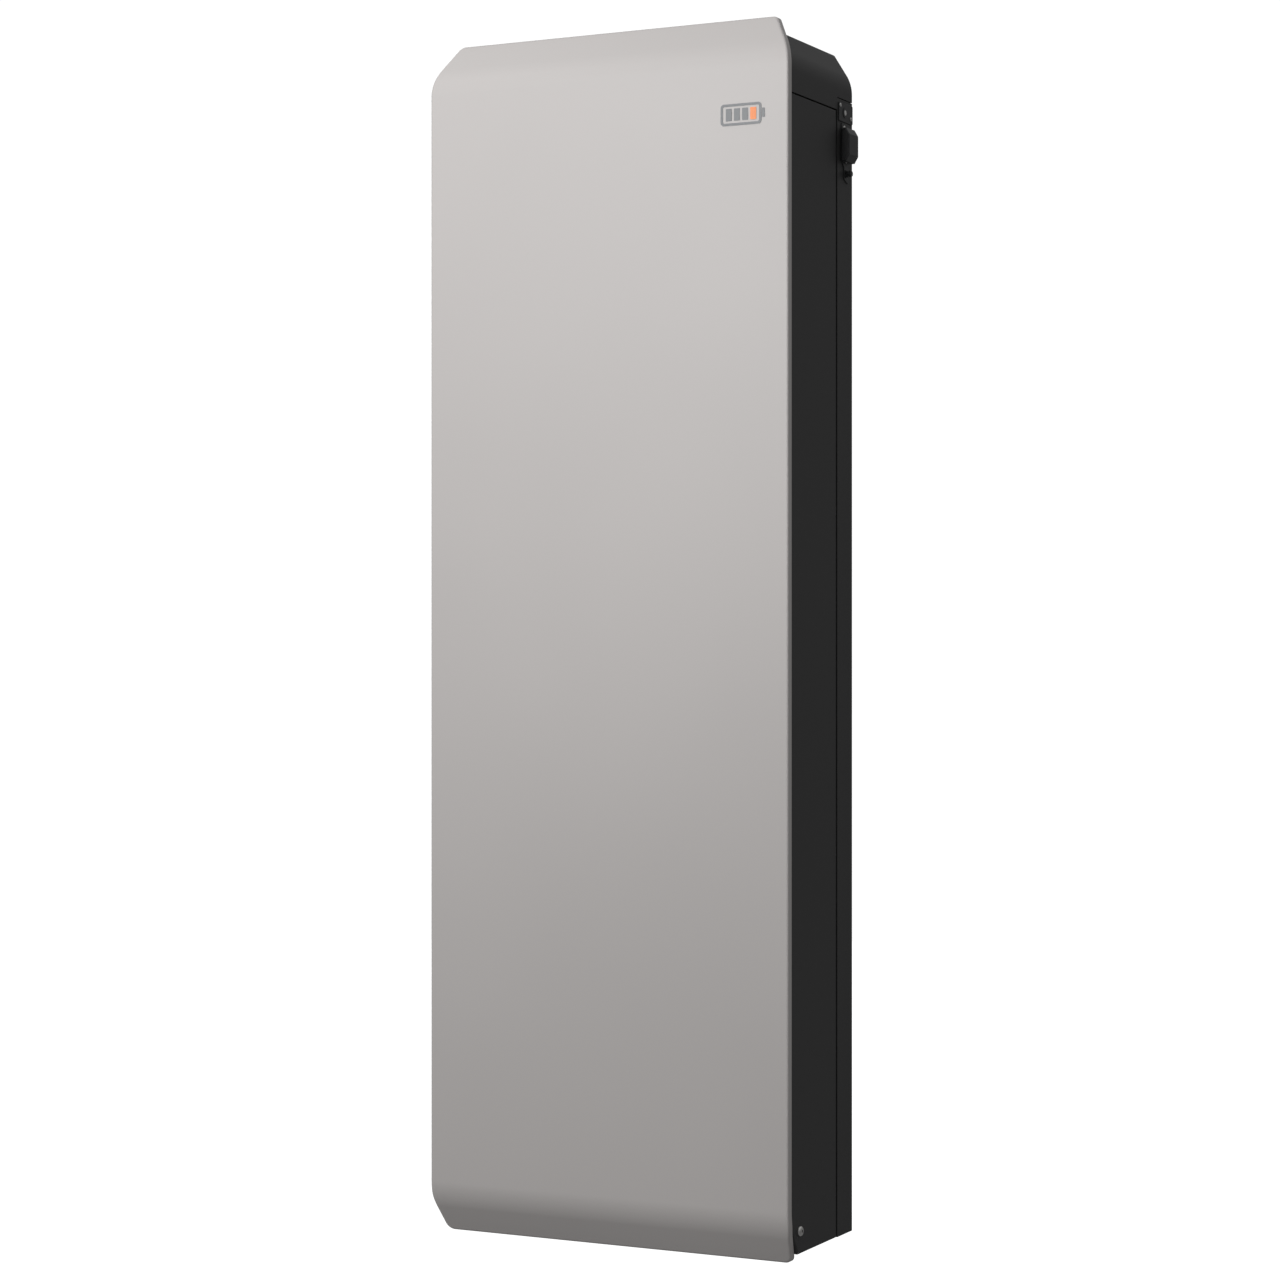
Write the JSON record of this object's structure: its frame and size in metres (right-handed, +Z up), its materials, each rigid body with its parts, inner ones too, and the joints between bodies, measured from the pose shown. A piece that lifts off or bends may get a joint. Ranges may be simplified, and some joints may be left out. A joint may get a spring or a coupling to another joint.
{
  "type": "wall battery unit",
  "caption": "Tall wall-hung home battery cabinet: light grey front cover with leaned-back ends, black housing and a disconnect switch on its right side.",
  "frame": {"origin": "centre of the four wall bolts, on the wall, half way up the front cover", "axes": "+Z up, +Y into the wall, +X to the right of a person facing the cover"},
  "size_m": [0.5832, 0.2546, 1.727],
  "materials": {
    "cover_paint": "satin warm grey paint",
    "badge_grey": "printed",
    "badge_orange": "printed",
    "black_powder_coat": "fine textured powder coat",
    "stainless_steel": "machined",
    "galvanised_steel": "galvanised",
    "seal_rubber": "matte",
    "black_plastic": "moulded",
    "hub_alloy": "die cast",
    "module_shell": "moulded",
    "copper": "tinned and bare copper",
    "contactor_plastic": "moulded",
    "circuit_board": "solder mask",
    "board_components": "moulded",
    "fuse_ceramic": "glazed",
    "cable_sheath": "smooth sheath"
  },
  "bodies": {
    "cabinet": {"board_parts": "board_components", "bottom_panel": "black_powder_coat", "breather_vent": "black_plastic", "button_bezel": "black_plastic", "cap_screws": "stainless_steel", "choke_core": "board_components", "choke_windings": "copper", "conduit_hubs": "hub_alloy", "conduit_plug": "black_plastic", "control_board": "circuit_board", "cover_screws": "stainless_steel", "electronics_plate": "galvanised_steel", "front_gasket": "seal_rubber", "fuse_base": "black_plastic", "ground_bar": "copper", "hanging_cleat": "black_powder_coat", "harness_clips": "black_plastic", "hub_locknuts": "hub_alloy", "inner_front_panel": "galvanised_steel", "inner_panel_screws": "stainless_steel", "left_side_panel": "black_powder_coat", "lower_front_module": "module_shell", "lower_rail_screws": "stainless_steel", "lower_rear_module": "module_shell", "lower_shelf": "galvanised_steel", "lower_wall_rail": "black_powder_coat", "middle_front_module": "module_shell", "middle_rear_module": "module_shell", "middle_shelf": "galvanised_steel", "module_links": "copper", "module_terminals": "copper", "negative_contactor": "contactor_plastic", "plate_standoffs": "galvanised_steel", "positive_contactor": "contactor_plastic", "rear_chassis": "black_powder_coat", "retaining_bars": "galvanised_steel", "right_side_panel": "black_powder_coat", "signal_harness": "cable_sheath", "stud_grommets": "seal_rubber", "switch_body": "black_plastic", "switch_escutcheon": "black_plastic", "switch_plate_screws": "stainless_steel", "terminal_block": "contactor_plastic", "terminal_rail": "galvanised_steel", "top_cap": "black_powder_coat", "upper_front_module": "module_shell", "upper_rear_module": "module_shell", "upper_shelf": "galvanised_steel", "upper_wall_rail": "black_powder_coat"},
    "cover": {"front_cover": "cover_paint", "cover_side_tabs": "cover_paint", "cover_studs": "stainless_steel", "badge": "badge_grey", "badge_charge_bar": "badge_orange"},
    "disconnect_handle": {"switch_handle": "black_plastic", "switch_shaft": "stainless_steel"},
    "lock_pin": {"lock_pin": "black_plastic"},
    "button": {"wake_button": "stainless_steel"},
    "fuse_carrier": {"fuse_carrier": "black_plastic", "fuse_link": "fuse_ceramic"}
  },
  "joints": [
    {"name": "cover_pull", "type": "slide", "parent": "cabinet", "child": "cover", "axis": [0, -1, 0], "range_m": [0, 0.08]},
    {"name": "handle_turn", "type": "hinge", "parent": "cabinet", "child": "disconnect_handle", "pos_m": [0.282, -0.049, 0.701], "axis": [1, 0, 0], "range_deg": [0, 90]},
    {"name": "lock_pin_pull", "type": "slide", "parent": "cabinet", "child": "lock_pin", "axis": [1, 0, 0], "range_m": [0, 0.006], "stiffness_N_per_m": 200},
    {"name": "button_press", "type": "slide", "parent": "cabinet", "child": "button", "axis": [-1, 0, 0], "range_m": [0, 0.002], "stiffness_N_per_m": 400},
    {"name": "fuse_carrier_swing", "type": "hinge", "parent": "cabinet", "child": "fuse_carrier", "pos_m": [0.15, -0.09005, 0.684], "axis": [1, 0, 0], "range_deg": [0, 60]}
  ]
}
